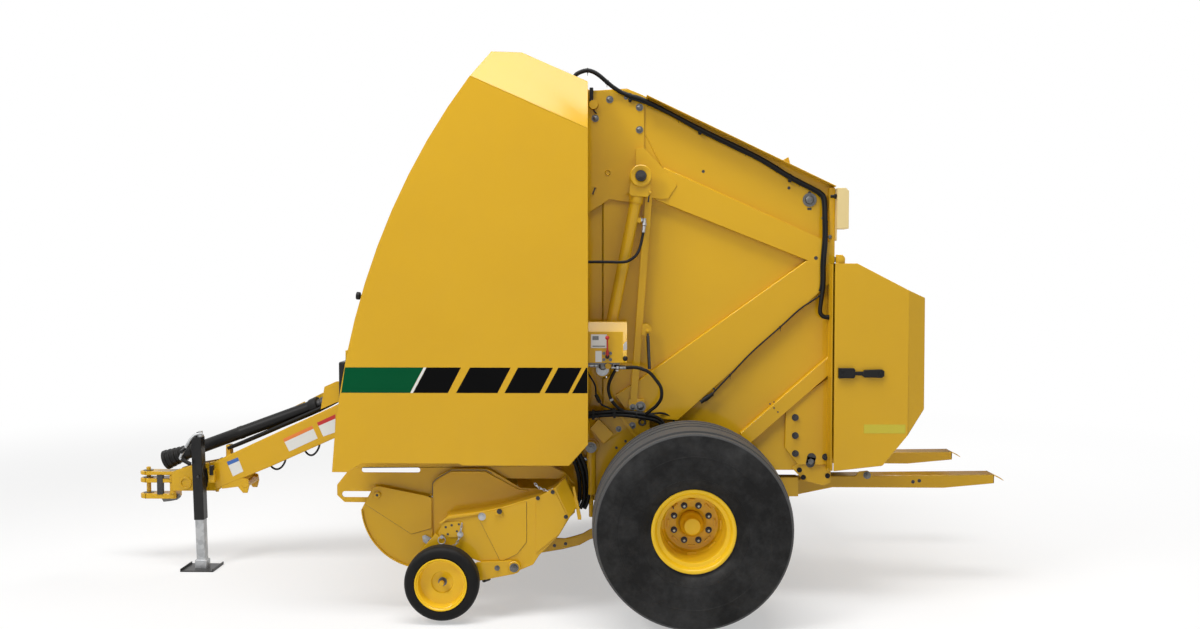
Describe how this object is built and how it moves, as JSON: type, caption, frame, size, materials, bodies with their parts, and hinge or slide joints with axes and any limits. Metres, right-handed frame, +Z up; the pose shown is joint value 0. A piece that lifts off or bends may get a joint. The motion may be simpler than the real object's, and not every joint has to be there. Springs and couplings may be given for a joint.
{
  "type": "round baler",
  "caption": "Towed round baler with a drawbar, side doors, a lifting rear gate with gate cylinders, a crop pickup, a net box, a bale ramp and a jack.",
  "frame": {"origin": "on the ground, under the middle of the whole machine's box", "axes": "+X rearward along the direction of travel, +Y to the machine's right, +Z up"},
  "size_m": [5.468, 2.78, 3.109],
  "materials": {
    "yellow_paint": "satin",
    "black_paint": "satin",
    "tyre_rubber": "matte",
    "belt_rubber": "matte",
    "zinc_steel": "satin",
    "chromed_rod": "polished",
    "hose_rubber": "matte",
    "black_plastic": "matte",
    "stripe_black": "gloss",
    "stripe_green": "gloss",
    "label_white": "gloss",
    "red_plastic": "gloss",
    "amber_lens": "gloss"
  },
  "bodies": {
    "frame": {"tongue": "yellow_paint", "hitch_clevis": "yellow_paint", "pto_driveline": "black_paint", "gearbox": "black_paint", "jack_tube": "black_paint", "front_crossmember": "yellow_paint", "top_crossmember": "yellow_paint", "front_shield": "yellow_paint", "axle": "yellow_paint", "starter_roller": "black_paint", "front_belts": "belt_rubber", "valve_box": "yellow_paint", "valve_hoses": "hose_rubber", "harness_loop": "hose_rubber", "left_frame_wall": "yellow_paint", "right_frame_wall": "yellow_paint", "left_sill": "yellow_paint", "right_sill": "yellow_paint", "left_skirt": "yellow_paint", "right_skirt": "yellow_paint"},
    "left_side_door": {"left_door": "yellow_paint"},
    "right_side_door": {"right_door": "yellow_paint"},
    "gate": {"gate_harness": "hose_rubber", "gate_belts": "belt_rubber", "gate_top_tube": "yellow_paint", "gate_bottom_tube": "yellow_paint", "net_cover_hinge": "zinc_steel", "left_gate_wall": "yellow_paint", "right_gate_wall": "yellow_paint", "left_gate_bracing": "yellow_paint", "right_gate_bracing": "yellow_paint", "left_latch_link": "yellow_paint", "right_latch_link": "yellow_paint", "left_lamp_box": "yellow_paint", "right_lamp_box": "yellow_paint"},
    "net_box": {"net_cover": "yellow_paint"},
    "left_cylinder": {"left_cylinder_barrel": "yellow_paint", "cylinder_hose": "hose_rubber"},
    "right_cylinder": {"right_cylinder_barrel": "yellow_paint"},
    "left_cylinder_piston": {"left_cylinder_rod": "chromed_rod"},
    "right_cylinder_piston": {"right_cylinder_rod": "chromed_rod"},
    "pickup": {"pickup_frame": "yellow_paint", "pickup_drive_cover": "yellow_paint", "left_pickup_side": "yellow_paint", "right_pickup_side": "yellow_paint", "left_pickup_shield": "yellow_paint", "right_pickup_shield": "yellow_paint", "left_gauge_arm": "yellow_paint", "right_gauge_arm": "yellow_paint"},
    "reel": {"pickup_reel": "zinc_steel"},
    "left_gauge_wheel": {"left_gauge_tyre": "tyre_rubber", "left_gauge_rim": "yellow_paint"},
    "right_gauge_wheel": {"right_gauge_tyre": "tyre_rubber", "right_gauge_rim": "yellow_paint"},
    "left_wheel": {"left_tyre": "tyre_rubber", "left_rim": "yellow_paint"},
    "right_wheel": {"right_tyre": "tyre_rubber", "right_rim": "yellow_paint"},
    "ramp": {"bale_ramp": "yellow_paint"},
    "jack": {"jack_leg": "zinc_steel"}
  },
  "joints": [
    {"name": "left_wheel_spin", "type": "hinge", "parent": "frame", "child": "left_wheel", "pos_m": [0.804, -1.12, 0.54], "axis": [0, 1, 0], "continuous": true},
    {"name": "right_wheel_spin", "type": "hinge", "parent": "frame", "child": "right_wheel", "pos_m": [0.804, 1.12, 0.54], "axis": [0, 1, 0], "continuous": true},
    {"name": "gate_lift", "type": "hinge", "parent": "frame", "child": "gate", "pos_m": [0.264, 0, 2.85], "axis": [0, -1, 0], "range_deg": [0, 55]},
    {"name": "cover_lift", "type": "hinge", "parent": "gate", "child": "net_box", "pos_m": [1.642, 0, 1.975], "axis": [0, -1, 0], "range_deg": [0, 75]},
    {"name": "left_door_swing", "type": "hinge", "parent": "frame", "child": "left_side_door", "pos_m": [-1.031, -1.108, 1.3], "axis": [0, 0, -1], "range_deg": [0, 110]},
    {"name": "right_door_swing", "type": "hinge", "parent": "frame", "child": "right_side_door", "pos_m": [-1.031, 1.108, 1.3], "axis": [0, 0, 1], "range_deg": [0, 110]},
    {"name": "pickup_lift", "type": "hinge", "parent": "frame", "child": "pickup", "pos_m": [0.104, 0, 0.65], "axis": [0, 1, 0], "range_deg": [-1, 10]},
    {"name": "reel_spin", "type": "hinge", "parent": "pickup", "child": "reel", "pos_m": [-0.696, 0, 0.447], "axis": [0, 1, 0], "continuous": true},
    {"name": "left_gauge_spin", "type": "hinge", "parent": "pickup", "child": "left_gauge_wheel", "pos_m": [-0.548, -1.198, 0.222], "axis": [0, 1, 0], "continuous": true},
    {"name": "right_gauge_spin", "type": "hinge", "parent": "pickup", "child": "right_gauge_wheel", "pos_m": [-0.548, 1.198, 0.222], "axis": [0, 1, 0], "continuous": true},
    {"name": "ramp_tilt", "type": "hinge", "parent": "frame", "child": "ramp", "pos_m": [1.364, 0, 0.56], "axis": [0, 1, 0], "range_deg": [0, 12], "stiffness_Nm_per_rad": 4000, "springref_deg": -28.65},
    {"name": "jack_slide", "type": "slide", "parent": "frame", "child": "jack", "axis": [-0.0244, 0, 0.9997], "range_m": [0, 0.25]},
    {"name": "left_cylinder_swing", "type": "hinge", "parent": "frame", "child": "left_cylinder", "pos_m": [0.316, -0.88, 1.354], "axis": [0, 1, 0], "range_deg": [0, 7]},
    {"name": "left_rod_slide", "type": "slide", "parent": "left_cylinder", "child": "left_cylinder_piston", "axis": [0.1949, 0, 0.9808], "range_m": [0, 0.46]},
    {"name": "right_cylinder_swing", "type": "hinge", "parent": "frame", "child": "right_cylinder", "pos_m": [0.316, 0.88, 1.354], "axis": [0, 1, 0], "range_deg": [0, 7]},
    {"name": "right_rod_slide", "type": "slide", "parent": "right_cylinder", "child": "right_cylinder_piston", "axis": [0.1949, 0, 0.9808], "range_m": [0, 0.46]}
  ],
  "couplings": [
    {"joint": "left_cylinder_swing", "follows": "gate_lift", "ratio": 0.09741},
    {"joint": "left_rod_slide", "follows": "gate_lift", "m_per_rad": 0.45661},
    {"joint": "right_cylinder_swing", "follows": "gate_lift", "ratio": 0.09741},
    {"joint": "right_rod_slide", "follows": "gate_lift", "m_per_rad": 0.45661}
  ]
}
